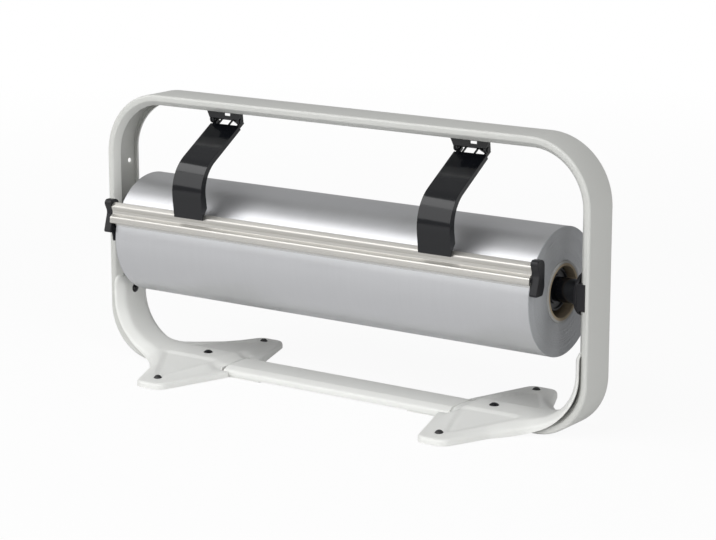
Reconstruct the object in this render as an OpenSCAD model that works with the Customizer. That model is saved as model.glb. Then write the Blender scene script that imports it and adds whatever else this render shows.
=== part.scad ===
// Counter-top dispenser for a wrapping paper roll: a bent steel frame on two pressed feet,
// an axle that carries the roll, and a hinged tear bar on two spring arms.
// X runs along the roll, the front is -Y, Z is up, and Z = 0 is the table.

/* [Frame band] */
// Outer width of the frame
frame_w = 582; // [572:1:640]
// Height of the frame's top above the table
frame_h = 288; // [280:1:330]
// Depth of the band, front to back
band_d = 45; // [42:1:50]
// Thickness of the band's sheet
band_t = 1.5; // [1.2:0.1:1.8]
// How far the flanges reach in before they lean over
flange_h = 6.6; // [6:0.2:8]
// How far the lips reach in from the outer face
lip_h = 11.5; // [11:0.5:13]
// How far each lip leans over the channel
lip_lean = 7.7; // [6.5:0.1:9]
// Outer radius along the band's edges
bend_r = 2.2; // [2:0.1:3]
// Outer radius of the top corners
top_r = 67; // [55:1:80]
// Outer radius of the bottom corners
bottom_r = 56; // [50:1:60]
// How far the band's ends reach in from the frame's sides, under the feet
band_reach = 128; // [121:1:133]
// Radius of the screw hole in the left post
side_hole_r = 2.5; // [2:0.1:3]
// Depth of the screw hole in the left post below the frame's top
side_hole_drop = 80; // [75:1:93]
// Distance of that hole behind the middle of the post
side_hole_y = 12.6; // [10:0.1:14]

/* [Feet] */
// Height of the sheet metal's lower edge above the table
ground_gap = 1; // [0.5:0.5:3]
// Thickness of the feet's sheet
foot_t = 2; // [1.5:0.1:2.2]
// Height of the rim round each foot
rim_h = 6.5; // [5.5:0.5:7]
// Clear space between a foot and the band inside it
foot_gap = 0.5; // [0.3:0.1:0.8]
// How far the feet reach in from the frame's sides
foot_reach = 163; // [157:1:167]
// Distance of the crossbar's ends from the frame's sides
seam_reach = 152; // [146:1:154]
// Distance of the lobes' middles from the frame's sides
lobe_reach = 119.5; // [117:0.5:123]
// Depth of a foot over its lobes, front to back
foot_d = 216; // [200:1:250]
// Length of a lobe past its rubber foot
lobe_tip = 17.5; // [16:0.5:20]
// Width across the end of a lobe
lobe_w = 28; // [26:1:32]
// Corner radius of the lobes
lobe_r = 12; // [8:1:13]
// Distance from the frame's sides to the turn of a foot's outer edge towards the arm
waist_reach = 84; // [79:1:87]
// Distance of that turn in front and behind
waist_y = 60; // [56:1:64]
// Radius of the outer edge at that turn
waist_r = 20; // [6:1:30]
// Distance from the frame's sides to where a foot's flat part ends at the arm
flat_reach = 57; // [55:1:62]
// Width of the raised ridge's flat top
ridge_w = 32; // [28:1:34]
// Height of the ridge beside the crossbar, above the sheet metal's lower edge
ridge_low = 10; // [9:0.5:12]
// Outer radius of an arm's bend
arm_bend = 64; // [60:1:66]
// How far an arm stands off the post, more than the ridge does
arm_inset = 1.5; // [0:0.5:3]
// Distance of an arm's side edges from the post's outer face
edge_inset = 7.7; // [7:0.1:9]
// Radius of the curve along an arm's side edges
edge_r = 67.3; // [65:0.1:69]
// Radius of the round corners at an arm's top
tip_r = 10; // [4:1:14]
// Height of the arms' tops above the table
arm_top = 89; // [80:1:96]
// Distance of the tongues' tips from the frame's sides
tongue_reach = 200; // [181:1:211]
// Thickness of the tongues under the crossbar
tongue_t = 1.2; // [1:0.1:1.5]
// How far the tongues lie below the feet's lower edges
tongue_drop = 0.6; // [0.2:0.1:0.8]

/* [Crossbar] */
// Width of the crossbar's flat top
bar_top_w = 31; // [28:1:34]
// Width of the crossbar across its lower edges
bar_base_w = 49.4; // [48:0.2:50]
// Height of the crossbar above the tongues
bar_rise = 9.4; // [8.5:0.1:10]
// Height of the crossbar's upright edges
bar_skirt = 5.4; // [4:0.2:6]

/* [Fasteners] */
// Distance of the upright screws from the frame's sides
foot_screw_reach = 114; // [101:1:117]
// Height of the level screws in the arms
arm_screw_z = 72; // [70:1:78]
// Radius of the screws' shanks
screw_r = 2; // [1.5:0.1:2.5]
// Clearance of the feet's holes round the screws and the rubber necks
hole_gap = 0.2; // [0.1:0.1:0.4]
// Radius of the screws' heads
head_r = 4.2; // [3.8:0.1:5]
// Height of the screws' domed heads
head_h = 2.2; // [1.8:0.1:2.6]
// Width across the flats of the stand-off nuts
nut_w = 7; // [6.5:0.1:8]
// Radius of the rubber feet's pads
pad_r = 9; // [7:0.5:11]
// Radius of the necks that hold the rubber feet
neck_r = 3; // [2.5:0.1:3.4]

/* [Axle] */
// Height of the axle above the table
axle_z = 140.5; // [138:0.5:150]
// Outer radius of the axle tube
axle_r = 12; // [10:0.5:14]
// Running and press clearance of round fits
slide = 0.05; // [0.03:0.01:0.1]
// Wall of the axle tube
axle_wall = 2; // [1.5:0.5:3]
// Radius of the plugs that carry the core
plug_r = 21.5; // [20:0.5:23]
// Thickness of a plug
plug_t = 16; // [10:1:24]
// Depth of a plug inside the core's end
plug_depth = 5; // [3:1:12]
// Radius of the collars beside the posts
collar_r = 21.5; // [18:0.5:24]
// Thickness of a collar
collar_t = 4; // [3:0.5:6]
// Height of the blocks that sit in the posts
block_h = 26; // [22:1:32]
// Clear space round a block
block_gap = 0.3; // [0.2:0.1:0.5]
// Distance of the floor of the posts' notches from the outer face
notch_floor = 3.7; // [3:0.1:5]
// How far a block stands out of the channel
block_out = 2; // [1:0.5:3]
// Radius of the spigots on the collars
spigot_r = 7; // [5:0.5:9]
// Length of those spigots
spigot_l = 8; // [5:0.5:9]

/* [Roll] */
// Distance of the paper's ends from the frame's sides
roll_space = 41; // [40:0.5:46]
// Outer radius of the full roll
roll_r = 62.75; // [55:0.25:63]
// Outer radius of the cardboard core
core_r = 30; // [29:0.5:34]
// Inner radius of the cardboard core
core_bore = 25; // [24.5:0.5:27]
// How far the core stands out of the paper at each end
core_out = 1; // [0:0.5:1.5]
// Clear space between the core and the plugs at their closest
core_gap = 0.3; // [0.3:0.1:0.6]
// Angle from straight down at which the roll hangs behind its axle
hang_angle = 35; // [0:5:45]

/* [Hinges] */
// Distance of each spring arm's middle from the frame's sides
arm_reach = 142.6; // [121:0.1:181]
// Depth of the hinge axis below the frame's top
hinge_drop = 22; // [21:0.5:24]
// Radius of the hinge pins
pin_r = 1.8; // [1.5:0.1:2]
// Running clearance of the hinge pins
pin_gap = 0.05; // [0.03:0.01:0.08]
// Radius of the hinge pins' heads
pin_head_r = 2.8; // [2.4:0.1:3.2]
// Thickness of the hinge pins' heads
pin_head_t = 0.8; // [0.5:0.1:1]
// How much wider than its arm a bracket is at the top
bracket_flare = 7; // [6:1:13]
// Thickness of the brackets' sheet
bracket_t = 1.5; // [1.2:0.1:1.8]
// Clear space between a bracket's top plate and the band's flanges
seat_gap = 1; // [0.5:0.1:2]
// How far the brackets' ears reach behind the hinge axis at their top
lug_back = 2; // [1:0.5:6]
// Radius of the brackets' ears round the hinge pins
lug_r = 4.4; // [3.6:0.1:4.6]
// Distance of a bracket's front plate in front of the hinge axis
plate_y = 3.4; // [3:0.1:4]
// Height of the front plate's lower edge above the hinge axis
plate_z = 2; // [2:0.1:5]
// Height of the front plate's square part
plate_square = 11; // [9:1:13]
// Width of the slot in the front plate
slot_w = 7.5; // [4:0.5:10]
// Height of that slot
slot_h = 2.8; // [2:0.2:3.6]
// Height of the slot above the plate's lower edge
slot_rise = 3.2; // [1.5:0.1:4]
// Distance of the slot's near end from the plate's middle
slot_x = 0.8; // [0:0.1:2]
// Radius of the arms' ears
ear_r = 3.6; // [3.4:0.1:3.6]

/* [Spring arms] */
// Width of a spring arm
arm_w = 37; // [34:1:42]
// Thickness of an arm's leaf
arm_t = 1.6; // [1.2:0.1:2]
// Depth of an arm's side flanges at the hinge
arm_flange = 4; // [3:0.5:5]
// Depth of those flanges beside the roll
low_flange = 8; // [5:0.5:9]
// Height over which they taper at the arm's foot
flange_taper = 7; // [4:0.5:10]
// Height of the hinge axis above the leaf
leaf_drop = 3.6; // [3.4:0.1:4]
// Length of the leaf behind the hinge axis
leaf_tail = 7; // [6:0.5:8]
// Distance from the hinge axis to the full width of the leaf
shoulder = 3; // [2.6:0.2:8]
// Slope of the upper leaf below the horizontal
leaf_slope = 31.8; // [30:0.2:34]
// Bend radius of the leaf above the roll
leaf_r = 40; // [30:1:44]
// Side clearance between an arm and its bracket
arm_gap = 0.5; // [0.3:0.1:1]
// Backward lean of the leaf's foot, for each unit of height
leaf_lean = 0.113; // [0.08:0.001:0.13]
// Clear space between a leaf's foot and the tear bar
leaf_gap = 0.4; // [0.3:0.1:0.8]
// Height of a leaf's foot above the tear bar's upper bend
leaf_rise = 0.6; // [0:0.1:1]
// Width of the window in the leaf's hinge end
window_w = 28; // [24:1:28]
// Length of that window along the leaf
window_l = 8.5; // [7.5:0.5:9]
// Distance of the window's front end in front of the hinge axis
window_front = 2.5; // [1.5:0.1:2.6]
// Distance of the window's middle from the arm's middle
window_x = 0.8; // [0:0.1:1]
// Length cut off the window's slanted corner, across the arm
window_slant = 9.3; // [6:0.1:10]
// Width of the ribs that cross the window
rib_w = 1.4; // [1:0.1:2.5]
// Distance between the two ribs
rib_pitch = 13.5; // [9:0.5:15]
// Distance of the ribs' middle from the arm's middle
rib_shift = 2.7; // [0:0.1:4]
// Rise of the hook over the tear bar, above the leaf's foot
hook_h = 7.6; // [7.2:0.1:9]
// Reach of the hook behind the leaf
hook_d = 9.6; // [9:0.1:11]
// Distance of the hook's ends from the leaf's side edges
hook_inset = 8; // [2:1:12]

/* [Tear bar] */
// How far the tear bar passes each end of the paper
bar_over = 2.5; // [2:0.5:4]
// Wall of the tear bar
bar_t = 2; // [1.6:0.1:2.2]
// Height of the tear bar's top edge above its lower lip
bar_h = 20.1; // [19:0.1:21]
// Height of the bend under the top lip
top_bend = 16.4; // [15.5:0.1:17]
// How far that bend stands in front of the blade
top_front = 2.2; // [1.6:0.1:2.6]
// How far the top lip leans back
top_lean = 4.4; // [3.5:0.1:5]
// How far the hollow below that bend stands in front of the blade
hollow_y = 0.4; // [0.2:0.1:0.8]
// Height of the bend above the hollow's flat
hollow_top = 4; // [3:0.5:5]
// Height of the hollow's flat above the lower lip
hollow_foot = 3; // [2:0.5:4]
// Height of the lower lip
nose_h = 5.6; // [5:0.1:7]
// Depth of the lower lip, front to back
nose_d = 5.4; // [4.5:0.1:6]
// How far the lower lip's front leans back
nose_lean = 0.6; // [0:0.1:1]
// Height of the blade's lower edge above the roll's middle
blade_rise = 15.6; // [14:0.2:17]
// Clear space between the blade's edge and the paper
blade_gap = 0.4; // [0.3:0.1:1]
// Thickness of the cutting blade
blade_t = 0.6; // [0.4:0.1:1]
// Depth of the blade below the tear bar
blade_h = 2.8; // [2:0.1:3.5]
// Thickness of the end caps
cap_t = 8; // [6:0.5:9]
// Height of the end caps
cap_h = 34.5; // [33:0.5:37]
// Depth of the end caps, front to back
cap_d = 16; // [14:0.5:18]
// How far the end caps reach below the tear bar
cap_drop = 10; // [8:0.5:12]
// Depth of the hollow in the end caps' front
cap_hollow = 6.2; // [3:0.2:6.6]
// Radius of that hollow
hollow_r = 8; // [5:1:20]
// Length of the fin below the left end cap
fin_h = 9.5; // [6:0.5:12]
// Distance of the fin behind the cap's front
fin_y = 8.5; // [6:0.5:11]
// Width of the fin at its root
fin_w = 7; // [5:0.5:9]
// Width of the fin at its tip
fin_tip = 2; // [1.5:0.5:4]
// Height of the slanted rear corner at a cap's foot
cap_slant = 8; // [4:0.5:10]
// How far a cap stands in front of the tear bar
cap_front = 0.2; // [0:0.1:1]

/* [Hidden] */
$fn = 96;
light_grey = "#d4d6d3";
pale_grey = "#dfe1df";
black = "#17191c";
half_w = frame_w / 2;
half_d = band_d / 2;
roll_len = frame_w - 2 * roll_space;
band_end = half_w - band_reach;
foot_start = half_w - foot_reach;
seam_x = half_w - seam_reach;
lobe_x = half_w - lobe_reach;
lobe_y = foot_d / 2 - lobe_tip;
waist_x = half_w - waist_reach;
flat_end = half_w - flat_reach;
tongue_x = half_w - tongue_reach;
foot_screw_x = half_w - foot_screw_reach;
arm_x = half_w - arm_reach;
bracket_w = arm_w + bracket_flare;
side_hole_z = frame_h - side_hole_drop;
foot_z = ground_gap + rim_h;
wall_y = half_d + foot_gap + foot_t;
ridge_top = lip_h + foot_gap + foot_t;
riser_x = band_end - 5;
lip_slope = (lip_h - flange_h) / lip_lean;
hinge_z = frame_h - hinge_drop;
neck_w = arm_w - 2 * (bracket_t + arm_gap);
roll_drop = core_bore - plug_r - core_gap;
roll_y = roll_drop * sin(hang_angle);
roll_z = axle_z - roll_drop * cos(hang_angle);
bar_len = roll_len + 2 * bar_over;
blade_back = roll_y - sqrt(pow(roll_r + blade_gap, 2) - pow(blade_rise, 2));
bar_foot = roll_z + blade_rise + blade_h;
bar_edge = [blade_back - blade_t, bar_foot + bar_t / 2];
leaf_foot = [bar_edge.x - top_front - bar_t / 2 - leaf_gap - arm_t / 2, bar_foot + top_bend + leaf_rise];
leaf_dir = [cos(leaf_slope), sin(leaf_slope)];
leaf_pivot = [0, hinge_z - leaf_drop];
leaf_turn = 90 - leaf_slope + atan(leaf_lean);
cap_y = bar_edge.x - nose_d - bar_t / 2 - cap_front;
cap_z = bar_foot - cap_drop;

// Points of a round corner of radius r at b, between the lines to a and c
function corner(a, b, c, r, n = 6) =
    r == 0 ? [b] :
    let (u = (a - b) / norm(a - b))
    let (w = (c - b) / norm(c - b))
    let (half = acos(u * w) / 2)
    let (centre = b + (u + w) / norm(u + w) * r / sin(half))
    let (from = b + u * r / tan(half) - centre)
    let (to = b + w * r / tan(half) - centre)
    let (start = atan2(from.y, from.x))
    let (turn = atan2(from.x * to.y - from.y * to.x, from * to))
    [for (i = [0 : n]) centre + r * [cos(start + turn * i / n), sin(start + turn * i / n)]];

// An open path with its inner corners rounded, one radius for each
function rounded_path(p, radii, n = 6) =
    let (last = len(p) - 1)
    [p[0], for (i = [1 : last - 1]) each corner(p[i - 1], p[i], p[i + 1], radii[i - 1], n), p[last]];

// A closed outline with its corners rounded, one radius for each
function rounded_loop(p, radii, n = 6) =
    let (k = len(p))
    [for (i = [0 : k - 1]) each corner(p[(i + k - 1) % k], p[i], p[(i + 1) % k], radii[i], n)];

// The point b moved by d to the left of the path from a to c
function moved(a, b, c, d) =
    let (u = a == b ? (c - b) / norm(c - b) : (b - a) / norm(b - a))
    let (w = c == b ? u : (c - b) / norm(c - b))
    let (m = (u + w) / norm(u + w))
    b + d / (m * u) * [-m.y, m.x];

// An open path moved sideways
function beside(p, d) =
    let (last = len(p) - 1)
    [for (i = [0 : last]) moved(p[max(i - 1, 0)], p[i], p[min(i + 1, last)], d)];

// A closed outline moved inwards or outwards
function around(p, d) =
    let (k = len(p))
    [for (i = [0 : k - 1]) moved(p[(i + k - 1) % k], p[i], p[(i + 1) % k], d)];

// The outline of a sheet of thickness t along an open path
function sheet(p, t) =
    let (left = beside(p, t / 2))
    let (right = beside(p, -t / 2))
    concat(left, [for (i = [len(right) - 1 : -1 : 0]) right[i]]);

function mirrored(p) = [for (i = [len(p) - 1 : -1 : 0]) [-p[i].x, p[i].y]];

// Sections are drawn as [y, inset from the frame's outer face]
function band_section() =
    let (m = band_t / 2)
    let (out = [lip_h - flange_h, lip_lean] / norm([lip_h - flange_h, lip_lean]))
    let (half = [[half_d - lip_lean, lip_h] - m * out, [half_d - m, flange_h - m * (1 - out.x) / out.y],
        [half_d - m, m]])
    sheet(rounded_path(concat(half, mirrored(half)), [for (i = [0 : 3]) bend_r - m], 4), band_t);

// The line of a foot's low ridge beside the crossbar, from its slopes' feet at low to its flat top
function ridge_path(top, low) =
    let (half = [[ridge_foot(top - low), low], [ridge_w / 2, top]])
    concat(half, mirrored(half));

// Distance of a ridge's slopes from its middle, a height below its flat top
function ridge_foot(height) = ridge_w / 2 + height / lip_slope;

function arm_path() =
    let (wall = wall_y - foot_t / 2)
    let (top = ridge_top - foot_t / 2)
    let (half = [[wall, 0], [wall, top - (wall - ridge_w / 2) * lip_slope], [ridge_w / 2, top]])
    rounded_path(concat(half, mirrored(half)), [for (i = [0 : 3]) foot_t], 4);

function bar_section() =
    let (side = bar_base_w / 2 - foot_t / 2)
    let (half = [[side, 0], [side, bar_skirt], [bar_top_w / 2, bar_rise - foot_t / 2]])
    sheet(rounded_path(concat(half, mirrored(half)), [for (i = [0 : 3]) foot_t], 4), foot_t);

function foot_outline() =
    let (tip = foot_d / 2)
    let (inner = lobe_x - lobe_w / 2)
    let (half = [[seam_x + foot_gap, wall_y], [foot_start, wall_y], [inner, tip], [inner + lobe_w, tip],
        [waist_x, waist_y], [flat_end, wall_y]])
    let (k = len(half))
    concat(half, [for (i = [k - 1 : -1 : 0]) [half[i].x, -half[i].y]]);

function foot_radii() =
    let (half = [0, foot_t + 1, lobe_r, lobe_r, waist_r, 0])
    let (k = len(half))
    concat(half, [for (i = [k - 1 : -1 : 0]) half[i]]);

// The line of a spring arm's leaf, down to a height above its foot
function leaf_path(rise = 0) =
    let (level = leaf_foot.x - leaf_lean * (leaf_pivot.y - leaf_foot.y))
    let (bend = leaf_pivot + level / (leaf_dir.x + leaf_lean * leaf_dir.y) * leaf_dir)
    let (foot = leaf_foot + rise * [-leaf_lean, 1])
    let (radius = min(leaf_r, 0.9 * norm(bend - foot) / tan(leaf_turn / 2)))
    rounded_path([leaf_pivot - shoulder * leaf_dir, bend, foot], [radius], 10);

// The line of the leaf's narrow hinge end, down to a distance below the hinge axis
function neck_path(reach) = [leaf_pivot + leaf_tail * leaf_dir, leaf_pivot - reach * leaf_dir];

// The outline of a side flange below a path, which gets deeper from one end to the other
function cheek(path, deep, taper) =
    let (last = len(path) - 1)
    let (edge = [for (i = [0 : last]) moved(path[max(i - 1, 0)], path[i], path[min(i + 1, last)],
        arm_flange + (deep - arm_flange) * i / last)])
    let (lift = taper * (path[last - 1] - path[last]) / norm(path[last - 1] - path[last]))
    concat([beside(path, -arm_t / 2)[0]], [for (i = [1 : last]) path[i]], [beside(path, arm_t)[last]],
        [for (i = [last : -1 : 0]) i == last ? edge[i] + lift : edge[i]], [beside(path, arm_t / 2)[0]]);

function hook_path() =
    let (rise = 0.84 * hook_h)
    let (crown = [0.42 * hook_d, hook_h])
    let (shoulder_point = [0.94 * hook_d, 0.74 * hook_h])
    [for (q = [[-leaf_lean * rise, rise], crown, shoulder_point, [hook_d, 0]]) leaf_foot + q];

// The line of the tear bar, from its top edge round the hollow and the lower lip to the blade
function tear_path() =
    [for (q = [[top_lean - top_front, bar_h], [-top_front, top_bend], [-hollow_y, top_bend - hollow_top],
        [-hollow_y, nose_h + hollow_foot], [nose_lean - nose_d, nose_h], [-nose_d, 0], [0, 0]]) bar_edge + q];

function tear_section() =
    sheet(rounded_path(tear_path(), [for (i = [0 : 4]) bar_t / 2 + 0.4], 3), bar_t);

// The pad that fills the corner between a leaf's foot and the tear bar's top lip
function pad_outline() =
    let (lip = beside([tear_path()[1], tear_path()[0]], bar_t / 2))
    let (along = lip[1] - lip[0])
    [leaf_foot + [0, 1], lip[0] + 0.3 * along, lip[0] + 0.9 * along, leaf_foot + [0, hook_h - 2]];

module along_x(from, to) {
    translate([from, 0, 0]) rotate([90, 0, 90]) linear_extrude(to - from) children();
}

// A section swept from under the foot, round a bottom corner of outer radius r and up to a height
module up_corner(points, from, height, r, inset) {
    centre = half_w - inset - r;
    turned = [for (q = points) [-q.y, q.x]];
    along_x(from, centre) translate([0, ground_gap]) polygon(points);
    translate([centre, 0, ground_gap + r]) rotate([90, 0, 0]) rotate([0, 0, -90])
        rotate_extrude(angle = 90) translate([r, 0]) polygon(turned);
    translate([half_w - inset, 0, ground_gap + r]) linear_extrude(height - ground_gap - r) polygon(turned);
}

module half_band() {
    points = band_section();
    up_corner(points, band_end, frame_h - top_r, bottom_r, 0);
    translate([half_w - top_r, 0, frame_h - top_r]) rotate([90, 0, 0])
        rotate_extrude(angle = 90) translate([top_r, 0]) polygon([for (q = points) [-q.y, q.x]]);
    along_x(0, half_w - top_r) translate([0, frame_h]) polygon([for (q = points) [q.x, -q.y]]);
}

module lip_notch() {
    tall = block_h + 2 * block_gap;
    translate([half_w - lip_h - 2, -half_d - 1, axle_z - tall / 2])
        cube([lip_h + 2 - notch_floor, band_d + 2, tall]);
}

module both_sides() {
    for (side = [0, 1]) mirror([side, 0, 0]) children();
}

module at_upright() {
    both_sides() translate([foot_screw_x, 0, ground_gap]) children();
}

module at_level() {
    both_sides() translate([half_w, 0, arm_screw_z]) rotate([0, -90, 0]) children();
}

module at_lobes() {
    for (x = [-lobe_x, lobe_x], y = [-lobe_y, lobe_y]) translate([x, y, 0]) children();
}

module frame_band() {
    color(light_grey) difference() {
        union() {
            half_band();
            mirror([1, 0, 0]) half_band();
        }
        lip_notch();
        mirror([1, 0, 0]) lip_notch();
        translate([-half_w - 1, side_hole_y, side_hole_z]) rotate([0, 90, 0])
            cylinder(h = band_t + 2, r = side_hole_r);
    }
}

module foot_pan() {
    outline = rounded_loop(foot_outline(), foot_radii());
    difference() {
        translate([0, 0, ground_gap]) linear_extrude(rim_h) polygon(outline);
        translate([0, 0, ground_gap - 1]) linear_extrude(rim_h + 1 - foot_t)
            polygon(around(outline, -foot_t));
        middle_cut(seam_x + foot_gap + foot_t / 2, riser_x + foot_t / 2, ridge_foot(ridge_low - rim_h));
        middle_cut(riser_x + foot_t / 2, flat_end, wall_y - foot_t / 2);
    }
}

module middle_cut(from, to, side) {
    translate([from, -side, 0]) cube([to - from, 2 * side, 2 * rim_h]);
}

module tongue() {
    low = ground_gap - tongue_drop;
    end = seam_x + foot_gap;
    translate([tongue_x, -bar_base_w / 2, low]) cube([end + foot_t - tongue_x, bar_base_w, tongue_t]);
    translate([end, -bar_base_w / 2, low]) cube([foot_t, bar_base_w, ground_gap + rim_h - low]);
}

module ridge(from, to, points) {
    along_x(from, to) translate([0, ground_gap]) polygon(points);
}

module arm() {
    reach = half_w - arm_inset - arm_bend;
    edge_x = half_w - edge_inset - edge_r;
    difference() {
        union() {
            up_corner(sheet(arm_path(), foot_t), riser_x, arm_top, arm_bend, arm_inset);
            ridge(riser_x, riser_x + foot_t, beside(arm_path(), -foot_t / 2));
        }
        translate([riser_x - 1, -wall_y - 1, 0])
            cube([reach - riser_x, 2 * wall_y + 2, ground_gap + rim_h - foot_t]);
        translate([0, wall_y + 1, 0]) rotate([90, 0, 0]) linear_extrude(2 * wall_y + 2) difference() {
            translate([edge_x, ground_gap - 1]) square([half_w, arm_top]);
            translate([edge_x, ground_gap + edge_r]) circle(edge_r);
            translate([edge_x, ground_gap + edge_r]) square([edge_r, arm_top]);
        }
        for (side = [0, 1]) mirror([0, side, 0]) along_x(reach, half_w) difference() {
            translate([wall_y - tip_r, arm_top - tip_r]) square(tip_r + 1);
            translate([wall_y - tip_r, arm_top - tip_r]) circle(tip_r);
        }
    }
}

module foot() {
    step = ridge_path(ridge_low - foot_t / 2, rim_h - foot_t / 2);
    hole_r = screw_r + hole_gap;
    difference() {
        union() {
            foot_pan();
            tongue();
            ridge(seam_x + foot_gap, riser_x + foot_t, sheet(step, foot_t));
            arm();
        }
        translate([foot_screw_x, 0, ground_gap + lip_h]) cylinder(h = 2 * foot_t + 2, r = hole_r);
        translate([half_w - lip_h, 0, arm_screw_z]) rotate([0, -90, 0])
            cylinder(h = 2 * foot_t + 4, r = hole_r);
        for (y = [-lobe_y, lobe_y]) translate([lobe_x, y, 0]) cylinder(h = foot_z + 1, r = neck_r + hole_gap);
    }
}

module right_foot() {
    color(pale_grey) foot();
}

module left_foot() {
    color(pale_grey) mirror([1, 0, 0]) foot();
}

module crossbar() {
    color(light_grey) along_x(-seam_x, seam_x)
        translate([0, ground_gap - tongue_drop + tongue_t]) polygon(bar_section());
}

module rubber_feet() {
    color(black) at_lobes() {
        cylinder(h = foot_z - foot_t, r = pad_r);
        cylinder(h = foot_z, r = neck_r);
        translate([0, 0, foot_z]) dome();
    }
}

module dome() {
    ball = (head_r * head_r + head_h * head_h) / (2 * head_h);
    rotate_extrude() intersection() {
        translate([0, head_h - ball]) circle(ball);
        square([head_r, head_h]);
    }
}

module screw(top) {
    translate([0, 0, band_t]) cylinder(h = top - band_t, r = screw_r);
    translate([0, 0, top]) dome();
}

module frame_screws() {
    color(black) {
        at_upright() screw(ridge_top);
        at_level() screw(ridge_top + arm_inset);
    }
}

module nut(top) {
    translate([0, 0, band_t]) difference() {
        cylinder(h = top - foot_t - band_t, r = nut_w / 2 / cos(30), $fn = 6);
        translate([0, 0, -1]) cylinder(h = top, r = screw_r + slide);
    }
}

module standoff_nuts() {
    color("silver") {
        at_upright() nut(ridge_top);
        at_level() nut(ridge_top + arm_inset);
    }
}

module on_axle() {
    translate([0, 0, axle_z]) rotate([0, 90, 0]) children();
}

module axle_tube() {
    reach = half_w - lip_h - block_out - collar_t;
    color(black) on_axle() translate([0, 0, -reach]) difference() {
        cylinder(h = 2 * reach, r = axle_r);
        translate([0, 0, -1]) cylinder(h = 2 * reach + 2, r = axle_r - axle_wall);
    }
}

module core_plug() {
    on_axle() translate([0, 0, roll_len / 2 - plug_depth - plug_t]) difference() {
        cylinder(h = plug_t, r = plug_r);
        translate([0, 0, -1]) cylinder(h = plug_t + 2, r = axle_r + slide);
    }
}

module right_core_plug() {
    color(black) core_plug();
}

module left_core_plug() {
    color(black) mirror([1, 0, 0]) core_plug();
}

module axle_collar() {
    on_axle() translate([0, 0, half_w - lip_h - block_out - collar_t]) {
        cylinder(h = collar_t, r = collar_r);
        cylinder(h = collar_t + spigot_l, r = spigot_r);
    }
}

module right_axle_collar() {
    color(black) axle_collar();
}

module left_axle_collar() {
    color(black) mirror([1, 0, 0]) axle_collar();
}

module axle_block() {
    inner = half_w - lip_h - block_out;
    outer = half_w - band_t;
    side = half_d - band_t - block_gap;
    bevel = bend_r - band_t;
    half = [[inner, side], [outer - bevel, side], [outer, side - bevel]];
    difference() {
        translate([0, 0, axle_z - block_h / 2]) linear_extrude(block_h)
            polygon([each half, for (i = [2 : -1 : 0]) [half[i].x, -half[i].y]]);
        on_axle() translate([0, 0, inner - 1]) cylinder(h = spigot_l + 1 + block_gap, r = spigot_r + slide);
    }
}

module right_axle_block() {
    color(black) axle_block();
}

module left_axle_block() {
    color(black) mirror([1, 0, 0]) axle_block();
}

module roll_ring(length, outer, inner) {
    translate([-length / 2, roll_y, roll_z]) rotate([0, 90, 0]) difference() {
        cylinder(h = length, r = outer);
        translate([0, 0, -1]) cylinder(h = length + 2, r = inner);
    }
}

module cardboard_core() {
    color("#b59f82") roll_ring(roll_len + 2 * core_out, core_r, core_bore);
}

module paper_roll() {
    color("#b9bbbf") roll_ring(roll_len, roll_r, core_r + slide);
}

module hinge_bracket() {
    top = frame_h - band_t;
    low = hinge_z + plate_z;
    ear_x = arm_w / 2 - bracket_t;
    seat = half_d - band_t - seat_gap;
    translate([0, -plate_y, 0]) rotate([90, 0, 0]) linear_extrude(bracket_t) difference() {
        polygon([
            [-bracket_w / 2, top], [-bracket_w / 2, top - plate_square], [-arm_w / 2, low],
            [arm_w / 2, low], [bracket_w / 2, top - plate_square], [bracket_w / 2, top]
        ]);
        translate([slot_x, low + slot_rise]) square([slot_w, slot_h]);
    }
    translate([-bracket_w / 2, -seat, top - bracket_t]) cube([bracket_w, 2 * seat, bracket_t]);
    both_sides() difference() {
        union() {
            along_x(ear_x, ear_x + bracket_t)
                polygon([[-lug_r, hinge_z], [lug_r, hinge_z], [lug_back, top], [-plate_y - bracket_t, top]]);
            translate([ear_x, 0, hinge_z]) rotate([0, 90, 0]) cylinder(h = bracket_t, r = lug_r);
        }
        translate([ear_x - 1, 0, hinge_z]) rotate([0, 90, 0]) cylinder(h = bracket_t + 2, r = pin_r + slide);
    }
}

module left_hinge_bracket() {
    color(black) translate([-arm_x, 0, 0]) hinge_bracket();
}

module right_hinge_bracket() {
    color(black) translate([arm_x, 0, 0]) hinge_bracket();
}

module hinge_pins() {
    inner = neck_w / 2 - arm_t - arm_gap;
    outer = arm_w / 2;
    color(black) for (x = [-arm_x, arm_x], side = [-1, 1])
        translate([x + side * inner, 0, hinge_z]) rotate([0, 90 * side, 0]) {
            cylinder(h = outer - inner, r = pin_r);
            translate([0, 0, outer - inner]) cylinder(h = pin_head_t, r = pin_head_r);
        }
}

module arm_strip(path, cheek, wide) {
    along_x(-wide / 2, wide / 2) polygon(sheet(path, arm_t));
    both_sides() along_x(wide / 2 - arm_t, wide / 2) polygon(cheek);
}

module window() {
    half = window_w / 2;
    linear_extrude(2 * arm_t) difference() {
        translate([window_x, 0]) polygon([
            [-half, 1.8], [1.8 - half, 0], [half, 0], [half, 0.3 * window_l],
            [half - window_slant, 0.85 * window_l], [half - window_slant, window_l], [-half, window_l]
        ]);
        for (side = [-1, 1]) translate([side * rib_pitch / 2 - rib_shift - rib_w / 2, -1])
            square([rib_w, window_l + 2]);
    }
}

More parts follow.
